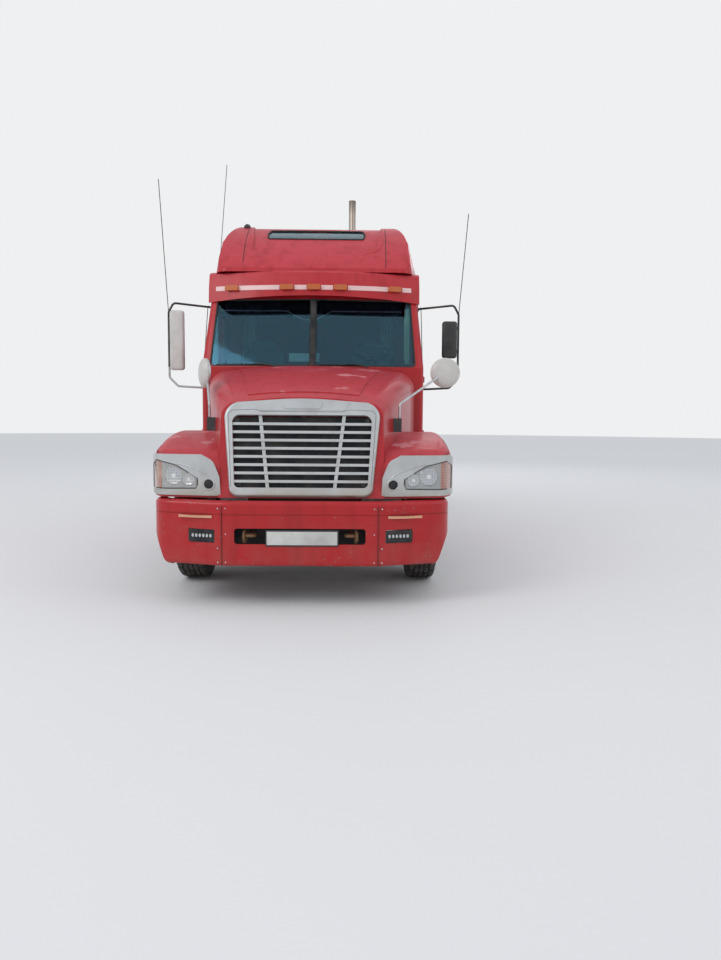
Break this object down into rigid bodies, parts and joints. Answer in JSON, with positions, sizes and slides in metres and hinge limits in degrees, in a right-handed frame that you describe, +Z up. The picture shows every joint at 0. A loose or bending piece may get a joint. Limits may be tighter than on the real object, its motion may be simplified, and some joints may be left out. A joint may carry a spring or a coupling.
{
  "type": "semi truck tractor unit",
  "caption": "Bonneted three-axle tractor unit with raised-roof sleeper, tilting hood and fifth wheel.",
  "frame": {"origin": "on the ground, in the middle of the overall length and width", "axes": "+X to the driver's (left) side, +Y rearward from bumper to mud flaps, +Z up"},
  "size_m": [3.188, 8.45, 4.5],
  "materials": {
    "red_paint": "faded gloss",
    "silver_trim": "satin silver",
    "frame_paint": "dusty black",
    "cast_iron": "grimy",
    "tank_aluminium": "brushed",
    "stack_steel": "heat tinted",
    "wheel_steel": "silver paint",
    "tyre": "worn",
    "black_plastic": "matte",
    "flap_rubber": "matte",
    "glass": "tinted",
    "lamp_lens": "clear, hazed",
    "amber_lens": "amber",
    "red_lens": "red",
    "interior_plastic": "grained",
    "seat_fabric": "woven",
    "fifth_wheel_steel": "greasy",
    "tow_brass": "rusty"
  },
  "bodies": {
    "chassis": {"frame_rails": "frame_paint", "frame_crossmembers": "frame_paint", "front_bumper": "red_paint", "running_lamps": "lamp_lens", "tow_hooks": "tow_brass", "radiator": "cast_iron", "engine_block": "cast_iron", "front_axle": "cast_iron", "rear_axles": "cast_iron", "rear_suspension": "frame_paint", "fuel_tanks": "tank_aluminium", "cab_steps": "tank_aluminium", "exhaust": "stack_steel", "deck_plate": "tank_aluminium", "fifth_wheel_base": "frame_paint", "mud_flaps": "flap_rubber", "tail_lamps": "red_lens", "cab_shell": "red_paint", "cab_glass": "glass", "sleeper_shell": "red_paint", "roof_fairing": "red_paint", "sun_visor": "red_paint", "marker_lamps": "amber_lens", "dashboard": "interior_plastic", "steering_wheel": "black_plastic", "seats_and_bunk": "seat_fabric"},
    "hood": {"hood_shell": "red_paint", "grille_surround": "silver_trim", "grille_bars": "silver_trim", "headlamp_surrounds": "silver_trim", "headlamp_lenses": "lamp_lens", "hood_mirrors": "black_plastic"},
    "fifth_wheel": {"fifth_wheel_plate": "fifth_wheel_steel"},
    "door_left": {"door_left": "red_paint", "door_glass_left": "glass", "mirror_left": "black_plastic"},
    "baggage_door_left": {"baggage_door_left": "red_paint"},
    "knuckle_left": {"knuckle_left": "cast_iron"},
    "front_wheel_left": {"front_rim_left": "wheel_steel", "front_tyre_left": "tyre"},
    "mid_wheels_left": {"mid_rims_left": "wheel_steel", "mid_tyres_left": "tyre"},
    "rear_wheels_left": {"rear_rims_left": "wheel_steel", "rear_tyres_left": "tyre"},
    "door_right": {"door_right": "red_paint", "door_glass_right": "glass", "mirror_right": "black_plastic"},
    "baggage_door_right": {"baggage_door_right": "red_paint"},
    "knuckle_right": {"knuckle_right": "cast_iron"},
    "front_wheel_right": {"front_rim_right": "wheel_steel", "front_tyre_right": "tyre"},
    "mid_wheels_right": {"mid_rims_right": "wheel_steel", "mid_tyres_right": "tyre"},
    "rear_wheels_right": {"rear_rims_right": "wheel_steel", "rear_tyres_right": "tyre"}
  },
  "joints": [
    {"name": "hood_tilt", "type": "hinge", "parent": "chassis", "child": "hood", "pos_m": [0, -4.04, 0.88], "axis": [1, 0, 0], "range_deg": [0, 70]},
    {"name": "fifth_wheel_tilt", "type": "hinge", "parent": "chassis", "child": "fifth_wheel", "pos_m": [0, 2.755, 1.105], "axis": [1, 0, 0], "range_deg": [-11, 15]},
    {"name": "door_left_swing", "type": "hinge", "parent": "chassis", "child": "door_left", "pos_m": [1.138, -2.201, 1.6], "axis": [0, 0, -1], "range_deg": [0, 70]},
    {"name": "baggage_door_left_swing", "type": "hinge", "parent": "chassis", "child": "baggage_door_left", "pos_m": [1.173, -0.999, 1.385], "axis": [0, 0, -1], "range_deg": [0, 100]},
    {"name": "steer_left", "type": "hinge", "parent": "chassis", "child": "knuckle_left", "pos_m": [0.835, -3.005, 0.525], "axis": [0, 0, 1], "range_deg": [-38, 38]},
    {"name": "front_wheel_left_roll", "type": "hinge", "parent": "knuckle_left", "child": "front_wheel_left", "pos_m": [1.03, -3.005, 0.525], "axis": [1, 0, 0], "continuous": true},
    {"name": "mid_wheels_left_roll", "type": "hinge", "parent": "chassis", "child": "mid_wheels_left", "pos_m": [0.93, 2.275, 0.525], "axis": [1, 0, 0], "continuous": true},
    {"name": "rear_wheels_left_roll", "type": "hinge", "parent": "chassis", "child": "rear_wheels_left", "pos_m": [0.93, 3.595, 0.525], "axis": [1, 0, 0], "continuous": true},
    {"name": "door_right_swing", "type": "hinge", "parent": "chassis", "child": "door_right", "pos_m": [-1.138, -2.201, 1.6], "axis": [0, 0, 1], "range_deg": [0, 70]},
    {"name": "baggage_door_right_swing", "type": "hinge", "parent": "chassis", "child": "baggage_door_right", "pos_m": [-1.173, -0.999, 1.385], "axis": [0, 0, 1], "range_deg": [0, 100]},
    {"name": "steer_right", "type": "hinge", "parent": "chassis", "child": "knuckle_right", "pos_m": [-0.835, -3.005, 0.525], "axis": [0, 0, 1], "range_deg": [-38, 38]},
    {"name": "front_wheel_right_roll", "type": "hinge", "parent": "knuckle_right", "child": "front_wheel_right", "pos_m": [-1.03, -3.005, 0.525], "axis": [1, 0, 0], "continuous": true},
    {"name": "mid_wheels_right_roll", "type": "hinge", "parent": "chassis", "child": "mid_wheels_right", "pos_m": [-0.93, 2.275, 0.525], "axis": [1, 0, 0], "continuous": true},
    {"name": "rear_wheels_right_roll", "type": "hinge", "parent": "chassis", "child": "rear_wheels_right", "pos_m": [-0.93, 3.595, 0.525], "axis": [1, 0, 0], "continuous": true}
  ],
  "couplings": [
    {"joint": "steer_right", "follows": "steer_left", "ratio": 1}
  ]
}
